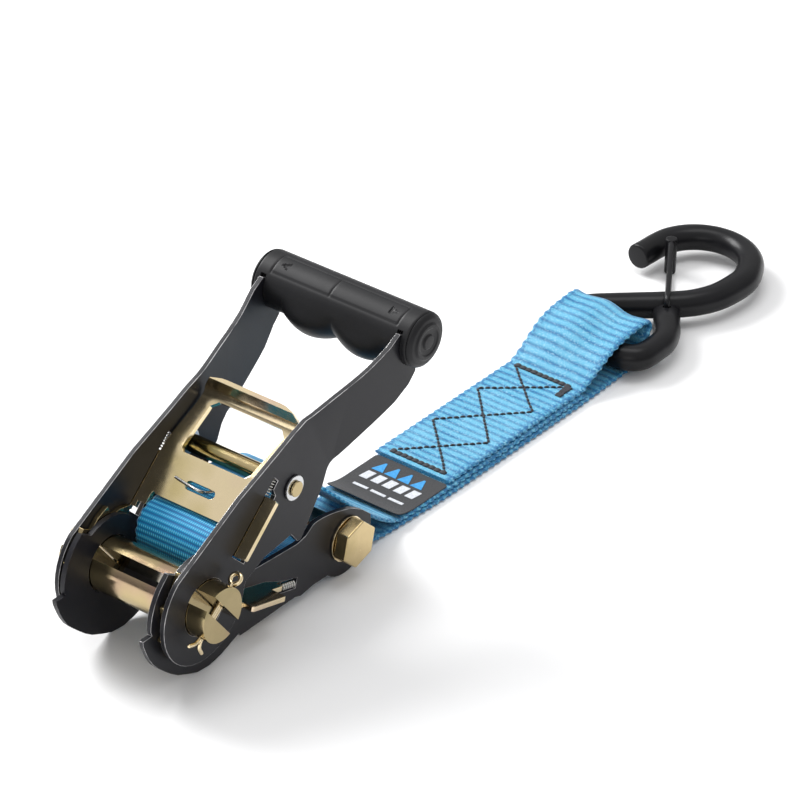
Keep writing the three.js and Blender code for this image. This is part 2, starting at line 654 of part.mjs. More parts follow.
function hookGeometry() {
  const plan = [
    [EYE_END.x, EYE_END.y], [341.6, -18.4], [334.6, -23.4], [327, -26.4], [319.5, -26.9], [313.5, -26.7],
    [307.9, -24.3], [HOOK_BAR_X, -18.4], [HOOK_BAR_X, -12], [HOOK_BAR_X, 0], [HOOK_BAR_X, 12], [HOOK_BAR_X, 18.4],
    [307.9, 24.3], [313.5, 26.9], [321, 27.3], [328.3, 24.2], [332.6, 18.8], [335.6, 14], [340.9, 7.4],
    [347, 0.7], [353.2, -6], [359.6, -12.6], [366.6, -17.9], [375.6, -21.7], [386.4, -23.2], [397, -22.8],
  ];
  for (const [x, y] of arcPoints(396, 2.2, 24, -62, 88, 8)) plan.push([x, y]);
  plan.push([390, 26.6], [383, 27]);
  const points = plan.map(([x, y]) => new THREE.Vector3(x, y, HOOK_Z));
  const JOIN = 5;                   // the eye end and the rest overlap on the near side arm
  let eye = solid(rodAlong(points.slice(0, JOIN + 2), HOOK_ROD_RADIUS, 16, 12));
  // flattened, rounded end of the eye, drilled for the keeper
  const pad = new THREE.CylinderGeometry(6, 6, 6.8, 20);
  pad.rotateX(Math.PI / 2);
  pad.translate(EYE_END.x, EYE_END.y, HOOK_Z);
  eye = eye.add(solid(pad));
  for (const side of [-1, 1]) {
    const trim = new THREE.BoxGeometry(26, 18, 6);
    trim.rotateZ(rad(32));
    trim.translate(EYE_END.x - 2.4, EYE_END.y - 1.6, HOOK_Z + side * (3.4 + 3));
    eye = eye.subtract(solid(trim));
  }
  const body = eye.add(solid(rodAlong(points.slice(JOIN), HOOK_ROD_RADIUS, 56, 12)));
  const bore = new THREE.CylinderGeometry(1.9, 1.9, 30, 16);
  bore.rotateX(Math.PI / 2);
  bore.translate(EYE_END.x, EYE_END.y, HOOK_Z);
  return toGeometry(body.subtract(solid(bore)));
}
hook.add(named('s_hook', hookGeometry(), blackCoat()));

// Keeper: a springy wire that straddles the hook, its closed end inside the tip, in a sleeve.
const KEEPER_END = new THREE.Vector2(393.6, 16.2);
const KEEPER_LEG = 7.75;
const KEEPER_WIRE = 1.3;

function keeperWireGeometry(radius) {
  const at = (t, h) => new THREE.Vector3(
    EYE_END.x + (KEEPER_END.x - EYE_END.x) * t,
    EYE_END.y + (KEEPER_END.y - EYE_END.y) * t,
    HOOK_Z + h,
  );
  const points = [
    at(0, 1), at(0, 3), at(0, 5.8), at(0.03, 7.2), at(0.1, KEEPER_LEG), at(0.5, KEEPER_LEG),
    at(0.92, KEEPER_LEG), at(0.985, 6.9), at(1, 5), at(1, 0),
  ];
  const lower = points.slice(0, -1).map((p) => new THREE.Vector3(p.x, p.y, 2 * HOOK_Z - p.z)).reverse();
  return rodAlong([...points, ...lower], radius, 44, 7);
}
const keeper = new THREE.Group();
keeper.add(named('keeper_wire', keeperWireGeometry(KEEPER_WIRE), blackCoat()));

// Moulded over the wire's closed end, so it is open where the two legs come in.
function keeperSleeveGeometry() {
  const shape = new THREE.Shape();
  shape.absarc(KEEPER_END.x, KEEPER_END.y, 2.7, 0, 2 * Math.PI, false);
  const roll = solid(upZ(shape, HOOK_Z - 9, HOOK_Z + 9, 12));
  return toGeometry(roll.subtract(solid(keeperWireGeometry(KEEPER_WIRE + GAP))));
}
keeper.add(named('keeper_sleeve', keeperSleeveGeometry(), blackCoat()));

// ---------- assembly, moved so that the origin is its bottom centre ----------
const assembly = new THREE.Group();
assembly.add(base, spool, handle, handlePawl, handleSprings, basePawl, baseSprings, strap, hook, keeper);
assembly.updateMatrixWorld(true);
const box = new THREE.Box3().setFromObject(assembly, true);
const centre = box.getCenter(new THREE.Vector3());
assembly.position.set(-centre.x, 0, -box.min.z);
assembly.updateMatrixWorld(true);

export default assembly;
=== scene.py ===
"""Ratchet tie down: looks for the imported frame. Metres, +X along the strap, +Z up."""
import json
import math
import random

import bmesh
import bpy
import numpy as np
from mathutils import Matrix, Vector


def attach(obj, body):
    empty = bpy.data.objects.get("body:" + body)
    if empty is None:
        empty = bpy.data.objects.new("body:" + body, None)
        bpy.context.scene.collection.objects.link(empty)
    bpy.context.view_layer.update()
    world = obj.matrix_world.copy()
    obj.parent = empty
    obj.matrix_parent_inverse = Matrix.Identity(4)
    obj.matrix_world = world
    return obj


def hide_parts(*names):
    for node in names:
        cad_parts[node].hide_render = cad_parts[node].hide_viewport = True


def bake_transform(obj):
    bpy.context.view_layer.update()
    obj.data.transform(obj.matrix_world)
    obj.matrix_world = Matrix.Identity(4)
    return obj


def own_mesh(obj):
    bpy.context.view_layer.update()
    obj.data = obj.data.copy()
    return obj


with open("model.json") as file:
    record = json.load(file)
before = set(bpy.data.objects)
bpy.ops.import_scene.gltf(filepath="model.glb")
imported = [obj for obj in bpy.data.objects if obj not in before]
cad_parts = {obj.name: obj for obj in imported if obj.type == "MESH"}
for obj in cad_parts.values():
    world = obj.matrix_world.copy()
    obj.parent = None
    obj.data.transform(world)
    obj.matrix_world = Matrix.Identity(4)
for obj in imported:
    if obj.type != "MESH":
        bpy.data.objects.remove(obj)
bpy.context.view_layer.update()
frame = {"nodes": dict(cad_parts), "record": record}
NODES = frame["nodes"]
random.seed(7)

JOINTS = {j["name"]: j for j in frame["record"]["behaviour"]["joints"]}
SPOOL = Vector(JOINTS["spool_turn"]["pos_m"])      # spool axis: the drawing's own origin
MM = 0.001
FLOOR = -SPOOL.z / MM + 0.02                       # height of the floor from the spool axis, mm
HANDLE_ANGLE = 29.6                                # rise of the line from spool to grip at rest, degrees
HANDLE_PAWL_ANGLE = 42.9                           # slope of the handle pawl's slots, degrees
BASE_PAWL_ANGLE = -14.3                            # slope of the base pawl's slots, degrees
SIDES = ((-1, "near"), (1, "far"))


def at(x, y, z):
    """A point given in mm from the spool axis, in the row frame."""
    return SPOOL + Vector((x, y, z)) * MM


# ---------------------------------------------------------------- camera and light
RIGHT = Vector((0.6119, -0.7905, 0.0246)).normalized()
UP = Vector((0.4021, 0.3377, 0.8511)).normalized()
AHEAD = UP.cross(RIGHT).normalized()
UP = RIGHT.cross(AHEAD).normalized()
cam_data = bpy.data.cameras.new("camera")
cam = bpy.data.objects.new("camera", cam_data)
bpy.context.scene.collection.objects.link(cam)
cam.matrix_world = Matrix((
    (RIGHT.x, UP.x, -AHEAD.x, 0), (RIGHT.y, UP.y, -AHEAD.y, 0), (RIGHT.z, UP.z, -AHEAD.z, 0), (0, 0, 0, 1)))
cam.location = at(-1386.4, -1164.9, 1204.4)
cam_data.lens = 239.4
cam_data.sensor_width = 36
cam_data.clip_start = 0.1
cam_data.clip_end = 50
bpy.context.scene.camera = cam
bpy.context.scene.view_settings.view_transform = "Standard"
bpy.context.scene.view_settings.look = "None"


def area_light(name, where, aim, size, power):
    data = bpy.data.lights.new(name, "AREA")
    data.shape = "RECTANGLE"
    data.size, data.size_y = size
    data.energy = power
    lamp = bpy.data.objects.new(name, data)
    bpy.context.scene.collection.objects.link(lamp)
    lamp.location = where
    lamp.rotation_euler = (Vector(aim) - Vector(where)).to_track_quat("-Z", "Y").to_euler()


area_light("key", (-0.05, 1.25, 1.05), (0.02, 0, 0.03), (0.8, 0.8), 30)
area_light("fill", (-1.5, -0.7, 0.8), (-0.05, 0, 0.05), (1.2, 0.5), 3)
area_light("top", (0.25, 0.1, 1.7), (0.05, 0, 0.03), (1.2, 0.8), 9)


def studio_world():
    """A soft white room that darkens below the horizon."""
    world = bpy.data.worlds.new("world")
    bpy.context.scene.world = world
    world.use_nodes = True
    tree = world.node_tree
    tree.nodes.clear()
    output = tree.nodes.new("ShaderNodeOutputWorld")
    background = tree.nodes.new("ShaderNodeBackground")
    coords = tree.nodes.new("ShaderNodeTexCoord")
    split = tree.nodes.new("ShaderNodeSeparateXYZ")
    ramp = tree.nodes.new("ShaderNodeValToRGB")
    low, high = ramp.color_ramp.elements
    low.position, low.color = 0.0, (0.16, 0.16, 0.17, 1)
    high.position, high.color = 0.55, (1, 1, 1, 1)
    background.inputs["Strength"].default_value = 0.78
    tree.links.new(coords.outputs["Generated"], split.inputs[0])
    tree.links.new(split.outputs["Z"], ramp.inputs[0])
    tree.links.new(ramp.outputs[0], background.inputs["Color"])
    tree.links.new(background.outputs[0], output.inputs[0])


studio_world()


# ---------------------------------------------------------------- materials
def srgb(r, g, b):
    """A linear colour from 0 to 255 sRGB values."""
    def lin(c):
        c /= 255
        return c / 12.92 if c <= 0.04045 else ((c + 0.055) / 1.055) ** 2.4
    return (lin(r), lin(g), lin(b), 1)


class Nodes:
    """A short way to write a material's node tree."""

    def __init__(self, name):
        self.mat = bpy.data.materials.new(name)
        self.mat.use_nodes = True
        self.tree = self.mat.node_tree
        self.shader = self.tree.nodes["Principled BSDF"]
        self.coords = self.tree.nodes.new("ShaderNodeTexCoord")

    def link(self, a, b):
        self.tree.links.new(a, b)

    def put(self, socket, value):
        if hasattr(value, "is_output"):
            self.link(value, socket)
        else:
            socket.default_value = value

    def math(self, op, a, b=0.0):
        n = self.tree.nodes.new("ShaderNodeMath")
        n.operation = op
        self.put(n.inputs[0], a)
        self.put(n.inputs[1], b)
        return n.outputs[0]

    def wave(self, value):
        """The absolute sine of value half turns: 0 at whole numbers, 1 between them."""
        return self.math("ABSOLUTE", self.math("SINE", self.math("MULTIPLY", value, math.pi)))

    def uv(self):
        """The UV map's two parts, in centimetres along and across."""
        n = self.tree.nodes.new("ShaderNodeSeparateXYZ")
        self.link(self.coords.outputs["UV"], n.inputs[0])
        return n.outputs[0], n.outputs[1]

    def mix(self, factor, a, b):
        n = self.tree.nodes.new("ShaderNodeMix")
        n.data_type = "RGBA"
        self.put(n.inputs[0], factor)
        self.put(n.inputs[6], a)
        self.put(n.inputs[7], b)
        return n.outputs[2]

    def noise(self, scale, detail=3.0, rough=0.5, vector=None):
        n = self.tree.nodes.new("ShaderNodeTexNoise")
        n.inputs["Scale"].default_value = scale
        n.inputs["Detail"].default_value = detail
        n.inputs["Roughness"].default_value = rough
        self.link(vector if vector is not None else self.coords.outputs["Object"], n.inputs["Vector"])
        return n.outputs[0]

    def ramp(self, factor, stops):
        n = self.tree.nodes.new("ShaderNodeValToRGB")
        while len(n.color_ramp.elements) < len(stops):
            n.color_ramp.elements.new(0.5)
        for e, (pos, col) in zip(n.color_ramp.elements, stops):
            e.position = pos
            e.color = col
        self.put(n.inputs[0], factor)
        return n.outputs[0]

    def span(self, value, lo, hi, to_lo, to_hi):
        n = self.tree.nodes.new("ShaderNodeMapRange")
        for i, v in enumerate((value, lo, hi, to_lo, to_hi)):
            self.put(n.inputs[i], v)
        return n.outputs[0]

    def bump(self, height, strength, distance):
        n = self.tree.nodes.new("ShaderNodeBump")
        n.inputs["Strength"].default_value = strength
        n.inputs["Distance"].default_value = distance
        self.put(n.inputs["Height"], height)
        self.link(n.outputs[0], self.shader.inputs["Normal"])

    def set(self, **values):
        names = {"color": "Base Color", "rough": "Roughness", "metal": "Metallic", "coat": "Coat Weight",
                 "coat_rough": "Coat Roughness", "sheen": "Sheen Weight", "sheen_rough": "Sheen Roughness",
                 "spec": "Specular IOR Level"}
        for key, value in values.items():
            self.put(self.shader.inputs[names[key]], value)
        return self.mat


def zinc_material(name, light, pink, olive, rough=0.17):
    n = Nodes(name)
    broad = n.noise(26, 2, 0.5)
    fine = n.noise(220, 4, 0.6)
    tone = n.ramp(broad, [(0.30, olive), (0.46, light), (0.60, light), (0.74, pink)])
    colour = n.mix(n.span(fine, 0.3, 0.7, 0, 0.08), tone, (0.12, 0.09, 0.05, 1))
    n.bump(n.noise(1300, 3, 0.6), 0.1, 0.00004)
    return n.set(color=colour, rough=n.span(fine, 0.25, 0.75, rough - 0.04, rough + 0.07), metal=1.0)


YELLOW_ZINC = zinc_material("yellow_zinc", srgb(236, 217, 178), srgb(230, 205, 180), srgb(212, 194, 140))
DEEP_ZINC = zinc_material("deep_zinc", srgb(188, 170, 128), srgb(180, 150, 132), srgb(132, 126, 80), 0.15)
BOLT_ZINC = zinc_material("bolt_zinc", srgb(206, 184, 138), srgb(198, 170, 138), srgb(172, 154, 102), 0.22)
BRIGHT_ZINC = zinc_material("bright_zinc", srgb(214, 215, 216), srgb(226, 226, 228), srgb(176, 178, 182), 0.26)
SPRING_WIRE = zinc_material("spring_wire", srgb(205, 204, 200), srgb(220, 218, 214), srgb(150, 150, 150), 0.22)


def black_paint_material():
    n = Nodes("black_paint")
    speck = n.noise(1500, 2, 0.5)
    cloud = n.noise(34, 3, 0.5)
    colour = n.mix(n.span(cloud, 0.3, 0.7, 0, 1), srgb(21, 21, 25), srgb(30, 30, 35))
    n.bump(speck, 0.12, 0.00006)
    return n.set(color=colour, rough=n.span(cloud, 0.3, 0.7, 0.34, 0.44), spec=0.26)


# Bright patchy metal for the plates' bevels: a painted highlight along their rounded edges, its patches varying at
# random.
def painted_edge_highlight_material():
    n = Nodes("painted_edge_highlight")
    patch = n.noise(160, 4, 0.65)
    colour = n.ramp(patch, [(0.3, srgb(88, 87, 90)), (0.55, srgb(205, 203, 204))])
    return n.set(color=colour, rough=0.3, metal=n.span(patch, 0.3, 0.6, 0.25, 0.6))


def plastic_material():
    n = Nodes("grip_plastic")
    grain = n.noise(1700, 3, 0.6)
    cloud = n.noise(40, 2, 0.5)
    colour = n.mix(n.span(cloud, 0.3, 0.7, 0, 1), srgb(24, 24, 26), srgb(31, 31, 33))
    n.bump(grain, 0.16, 0.00008)
    return n.set(color=colour, rough=n.span(grain, 0.3, 0.7, 0.4, 0.5), spec=0.25)


def coating_material():
    n = Nodes("dipped_coating")
    ripple = n.noise(55, 2, 0.4)
    fleck = n.noise(1200, 2, 0.5)
    colour = n.mix(n.span(ripple, 0.3, 0.7, 0, 1), srgb(12, 12, 14), srgb(19, 19, 22))
    n.bump(n.math("ADD", ripple, n.math("MULTIPLY", fleck, 0.03)), 0.16, 0.0006)
    return n.set(color=colour, rough=n.span(fleck, 0.3, 0.7, 0.3, 0.38), spec=0.17, coat=0.09, coat_rough=0.22)


RIB = 4.4          # pitch of the ribs across the webbing, mm
ROW = 2.2          # pitch of the rows of floats, mm
YARN = 1.05        # pitch of the warp floats, mm


def webbing_material():
    """Crosswise ribs, each two rows of short floats, with painted shade in the grooves and painted highlights on the
    floats. The mesh's depth attribute is 1 on the loop behind the spool, whose more saturated blue is painted shade
    standing in for how that loop is lit.
    """
    n = Nodes("webbing")
    u, v = n.uv()
    shade = n.tree.nodes.new("ShaderNodeAttribute")
    shade.attribute_name = "depth"
    # painted shade: the loop behind the spool gets a more saturated blue that stands in for how it is lit
    loop_shade_mask = shade.outputs["Fac"]
    drift = n.span(n.noise(42, 2, 0.5), 0.3, 0.7, -0.05, 0.05)
    zigzag = n.math("PINGPONG", v, 1.02)
    sway = n.math("MULTIPLY", n.math("SUBTRACT", 1.0, loop_shade_mask), n.math("ADD", drift, n.math("MULTIPLY", zigzag, 0.05)))
    along = n.math("ADD", n.math("DIVIDE", u, RIB / 10), sway)
    rib = n.math("POWER", n.wave(along), 1.7)
    rows = n.math("MULTIPLY", along, RIB / ROW)
    row = n.wave(rows)
    stagger = n.math("MULTIPLY", n.math("MODULO", n.math("FLOOR", rows), 2.0), 0.5)
    across = n.math("ADD", n.math("DIVIDE", v, YARN / 10), stagger)
    yarn = n.wave(across)
    dash = n.math("MULTIPLY", n.math("POWER", row, 0.8), n.span(yarn, 0.15, 0.8, 0.15, 1.0))
    fibre = n.tree.nodes.new("ShaderNodeMapping")
    fibre.inputs["Scale"].default_value = (16, 70, 1)
    n.link(n.coords.outputs["UV"], fibre.inputs["Vector"])
    hair = n.noise(1.0, 4, 0.62, fibre.outputs[0])
    patch = n.noise(70, 3, 0.5)
    # painted shade and highlight: the ramp darkens the grooves between ribs and lightens the raised floats
    light = n.ramp(n.math("ADD", n.math("MULTIPLY", rib, 0.72), n.math("MULTIPLY", dash, 0.28)),
                   [(0.08, srgb(0, 86, 134)), (0.4, srgb(26, 126, 170)), (0.75, srgb(80, 164, 195)),
                    (1.0, srgb(120, 190, 210))])
    light = n.mix(n.span(hair, 0.35, 0.7, 0, 0.42), light, srgb(30, 122, 176))
    light = n.mix(n.span(patch, 0.4, 0.7, 0, 0.25), light, srgb(126, 192, 222))
    light = n.mix(n.span(n.noise(1500, 2, 0.5), 0.52, 0.64, 0, 0.4), light, srgb(172, 216, 232))
    # the woven edges are speckled where the weft turns back
    edge = n.span(n.math("ABSOLUTE", v), 1.66, 1.86, 0, 1)
    speck = n.math("MULTIPLY", edge, n.span(n.noise(800, 2, 0.5), 0.46, 0.54, 0, 0.85))
    light = n.mix(speck, light, srgb(8, 96, 150))
    # the loop's colours: painted shade, with painted highlights on its floats
    loop_shade_colour = n.ramp(n.math("MULTIPLY", dash, n.span(rib, 0, 1, 0.7, 1.0)),
                  [(0.15, srgb(0, 96, 152)), (0.5, srgb(0, 132, 190)), (0.78, srgb(44, 176, 222)),
                   (1.0, srgb(146, 222, 244))])
    colour = n.mix(loop_shade_mask, light, loop_shade_colour)
    height = n.math("ADD", n.math("MULTIPLY", rib, n.span(loop_shade_mask, 0, 1, 0.9, 0.3)),
                    n.math("ADD", n.math("MULTIPLY", dash, 0.5), n.math("MULTIPLY", hair, 0.4)))
    n.bump(height, 0.5, 0.0004)
    return n.set(color=colour, rough=n.span(hair, 0.3, 0.7, 0.42, 0.62), sheen=0.2, sheen_rough=0.4, spec=0.4)


def thread_material(name, colour, tint):
    n = Nodes(name)
    twist = n.noise(1400, 3, 0.6)
    n.bump(twist, 0.4, 0.0001)
    return n.set(color=n.mix(n.span(twist, 0.3, 0.7, 0, 1), colour, tint), rough=0.68, sheen=0.15, sheen_rough=0.5)


def label_material():
    n = Nodes("label_cloth")
    threads = [n.math("ABSOLUTE", n.math("SINE", n.math("MULTIPLY", part, pitch)))
               for part, pitch in zip(n.uv(), (90, 110))]
    weave = n.math("MULTIPLY", *threads)
    n.bump(weave, 0.4, 0.00012)
    return n.set(color=n.mix(weave, srgb(16, 17, 20), srgb(38, 39, 44)), rough=0.72, sheen=0.2, sheen_rough=0.5)


BLACK_PAINT = black_paint_material()
PAINTED_EDGE_HIGHLIGHT = painted_edge_highlight_material()
PLASTIC = plastic_material()
COATING = coating_material()
WEBBING = webbing_material()
BLACK_THREAD = thread_material("black_thread", srgb(14, 17, 26), srgb(30, 34, 46))
BLUE_THREAD = thread_material("blue_motif_thread", srgb(20, 120, 186), srgb(52, 158, 216))
PALE_THREAD = thread_material("pale_motif_thread", srgb(176, 180, 188), srgb(214, 217, 222))
LABEL = label_material()


# ---------------------------------------------------------------- mesh helpers
def mesh_object(name, verts, faces, material, uvs=None, smooth=35):
    mesh = bpy.data.meshes.new(name)
    mesh.from_pydata([tuple(v) for v in verts], [], [tuple(f) for f in faces])
    if uvs is not None:
        layer = mesh.uv_layers.new(name="UVMap")
        loops = np.empty(len(mesh.loops), dtype=np.int32)
        mesh.loops.foreach_get("vertex_index", loops)
        layer.data.foreach_set("uv", np.asarray(uvs, dtype=np.float32)[loops].ravel())
    mesh.materials.append(material)
    mesh.validate()
    mesh.shade_smooth()
    mesh.set_sharp_from_angle(angle=math.radians(smooth))
    obj = bpy.data.objects.new(name, mesh)
    bpy.context.scene.collection.objects.link(obj)
    return obj


def skin(rings, sides, start=0):
    """Faces between consecutive rings of sides points, numbered from start."""
    faces = []
    for i in range(start, start + (rings - 1) * sides, sides):
        for k in range(sides):
            j = (k + 1) % sides
            faces.append((i + k, i + j, i + sides + j, i + sides + k))
    return faces


def face_outward(obj):
    """Turns every face's normal outward."""
    bm = bmesh.new()
    bm.from_mesh(obj.data)
    bmesh.ops.recalc_face_normals(bm, faces=bm.faces)
    bm.to_mesh(obj.data)
    bm.free()
    return obj


def curve_points(points, count):
    """Evenly spaced points on a Catmull-Rom curve through the given ones."""
    pts = np.array(points, float)
    ext = np.vstack([2 * pts[0] - pts[1], pts, 2 * pts[-1] - pts[-2]])
    fine = []
    for i in range(1, len(ext) - 2):
        p0, p1, p2, p3 = ext[i - 1:i + 3]
        knots = [0.0]
        for a, b in ((p0, p1), (p1, p2), (p2, p3)):
            knots.append(knots[-1] + max(np.linalg.norm(b - a), 1e-9) ** 0.5)
        t0, t1, t2, t3 = knots
        for t in np.linspace(t1, t2, 24, endpoint=False):
            a1 = (t1 - t) / (t1 - t0) * p0 + (t - t0) / (t1 - t0) * p1
            a2 = (t2 - t) / (t2 - t1) * p1 + (t - t1) / (t2 - t1) * p2
            a3 = (t3 - t) / (t3 - t2) * p2 + (t - t2) / (t3 - t2) * p3
            b1 = (t2 - t) / (t2 - t0) * a1 + (t - t0) / (t2 - t0) * a2
            b2 = (t3 - t) / (t3 - t1) * a2 + (t - t1) / (t3 - t1) * a3
            fine.append((t2 - t) / (t2 - t1) * b1 + (t - t1) / (t2 - t1) * b2)
    fine.append(pts[-1])
    fine = np.array(fine)
    run = np.concatenate([[0], np.cumsum(np.linalg.norm(np.diff(fine, axis=0), axis=1))])
    even = np.linspace(0, run[-1], count)
    return np.stack([np.interp(even, run, fine[:, k]) for k in range(fine.shape[1])], 1), run[-1]


def tube(name, points, radius, material, rings=80, sides=24, round_ends=0.25, wide=None, high=None):
    """A rod along points (mm from the spool axis). wide and high scale its section at a share of its length."""
    path, length = curve_points(points, rings)
    tangent = np.gradient(path, axis=0)
    tangent /= np.linalg.norm(tangent, axis=1)[:, None]
    normal = np.cross(tangent[0], [0, 0, 1.0])
    if np.linalg.norm(normal) < 1e-3:
        normal = np.cross(tangent[0], [0, 1.0, 0])
    normal /= np.linalg.norm(normal)
    frames = []
    for i in range(rings):
        if i:
            normal = normal - tangent[i] * np.dot(normal, tangent[i])
            normal /= np.linalg.norm(normal)
        frames.append((normal, np.cross(tangent[i], normal)))
    verts = []
    cap = 5
    # each ring: its station, how far it is pushed along the rod, and how much of the rounding it keeps
    steps = [(-math.cos(k / cap * math.pi / 2), math.sin(k / cap * math.pi / 2)) for k in range(cap)]
    order = [(0, c, s) for c, s in steps] + [(i, 0, 1) for i in range(rings)]
    order += [(rings - 1, -c, s) for c, s in reversed(steps)]
    angles = np.linspace(0, 2 * math.pi, sides, endpoint=False)
    for i, push, shrink in order:
        share = i / (rings - 1)
        a, b = frames[i]
        r = radius(share) if callable(radius) else radius
        keep = 1 - round_ends * (1 - shrink)
        w = r * keep * (wide(share) if wide else 1)
        h = r * keep * (high(share) if high else 1)
        centre = path[i] + tangent[i] * push * r * round_ends
        for t in angles:
            verts.append(at(*(centre + a * w * math.cos(t) + b * h * math.sin(t))))
    n = len(order)
    faces = skin(n, sides)
    faces.append(tuple(reversed(range(sides))))
    faces.append(tuple(range((n - 1) * sides, n * sides)))
    obj = mesh_object(name, verts, faces, material, smooth=60)
    return face_outward(obj)


def bake(obj):
    """Applies an object's modifiers."""
    bpy.context.view_layer.update()
    got = obj.evaluated_get(bpy.context.evaluated_depsgraph_get())
    mesh = bpy.data.meshes.new_from_object(got)
    obj.modifiers.clear()
    obj.data = mesh
    return obj


def cut_with(obj, cutter, crossing=False):
    """Cuts cutter's shape out of obj. crossing is for an obj whose own surface may cross itself."""
    mod = obj.modifiers.new("cut", "BOOLEAN")
    mod.operation = "DIFFERENCE"
    mod.solver = "EXACT"
    mod.use_self = crossing
    mod.object = cutter
    bake(obj)
    bpy.data.objects.remove(cutter, do_unlink=True)
    obj.data.shade_smooth()
    obj.data.set_sharp_from_angle(angle=math.radians(40))
    return obj


def place(obj, body, material_slot, *nodes):
    """Says which body a piece rides, and the CAD nodes it stands for."""
    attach(obj, body)
    if nodes:
        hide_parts(*nodes)
    return obj


# ---------------------------------------------------------------- CAD nodes that stay
def dress(node, material, edge=None, width=0.3, angle=38, segments=2):
    """Gives a CAD node its material and a bevel width mm wide, in the edge material where there is one."""
    obj = NODES[node]
    obj.data.materials.clear()
    obj.data.materials.append(material)
    obj.data.shade_smooth()
    obj.data.set_sharp_from_angle(angle=math.radians(32))
    if edge is not None:
        obj.data.materials.append(edge)
    weld = obj.modifiers.new("weld", "WELD")
    weld.merge_threshold = 0.02 * MM
    flats = obj.modifiers.new("flats", "DECIMATE")
    flats.decimate_type = "DISSOLVE"
    flats.angle_limit = math.radians(0.4)
    bevel = obj.modifiers.new("bevel", "BEVEL")
    bevel.width = width * MM
    bevel.segments = segments
    bevel.limit_method = "ANGLE"
    bevel.angle_limit = math.radians(angle)
    bevel.use_clamp_overlap = True
    if edge is not None:
        bevel.material = 1
    normals = obj.modifiers.new("normals", "WEIGHTED_NORMAL")
    normals.weight = 100


# the plates' bevels carry the painted edge highlight
for side in ("near", "far"):
    dress(f"base_plate_{side}", BLACK_PAINT, PAINTED_EDGE_HIGHLIGHT, 0.4)
    dress(f"handle_plate_{side}", BLACK_PAINT, PAINTED_EDGE_HIGHLIGHT, 0.4)
    dress(f"ratchet_wheel_{side}", DEEP_ZINC, width=0.2)
    dress(f"bolt_washer_{side}", YELLOW_ZINC, width=0.15)
    dress(f"rod_outer_washer_{side}", BRIGHT_ZINC, width=0.2)
    dress(f"rod_inner_washer_{side}", BRIGHT_ZINC, width=0.2)
dress("strap_bolt", BOLT_ZINC, width=0.7, angle=40, segments=3)
dress("lock_nut", YELLOW_ZINC, width=0.5, angle=40, segments=3)
dress("spool_half_upper", DEEP_ZINC, width=0.8, angle=40, segments=4)
dress("spool_half_lower", DEEP_ZINC, width=0.8, angle=40, segments=4)
dress("bolt_spacer", DEEP_ZINC)
dress("cross_rod", DEEP_ZINC)
dress("handle_pawl", YELLOW_ZINC, width=0.35, angle=44)
dress("base_pawl", YELLOW_ZINC)
dress("grip_rod", BRIGHT_ZINC)


# ---------------------------------------------------------------- webbing
HALF_WEB = 20.3                                     # half the webbing's width, mm
THICK = 1.8                                         # thickness of one layer, mm
LAYER = 1.97                                        # spacing of the sewn layers, mm
LOW = FLOOR + 1.0                                   # middle of the lowest layer, mm
STEP = 0.66                                         # spacing of the webbing's rows of points, mm


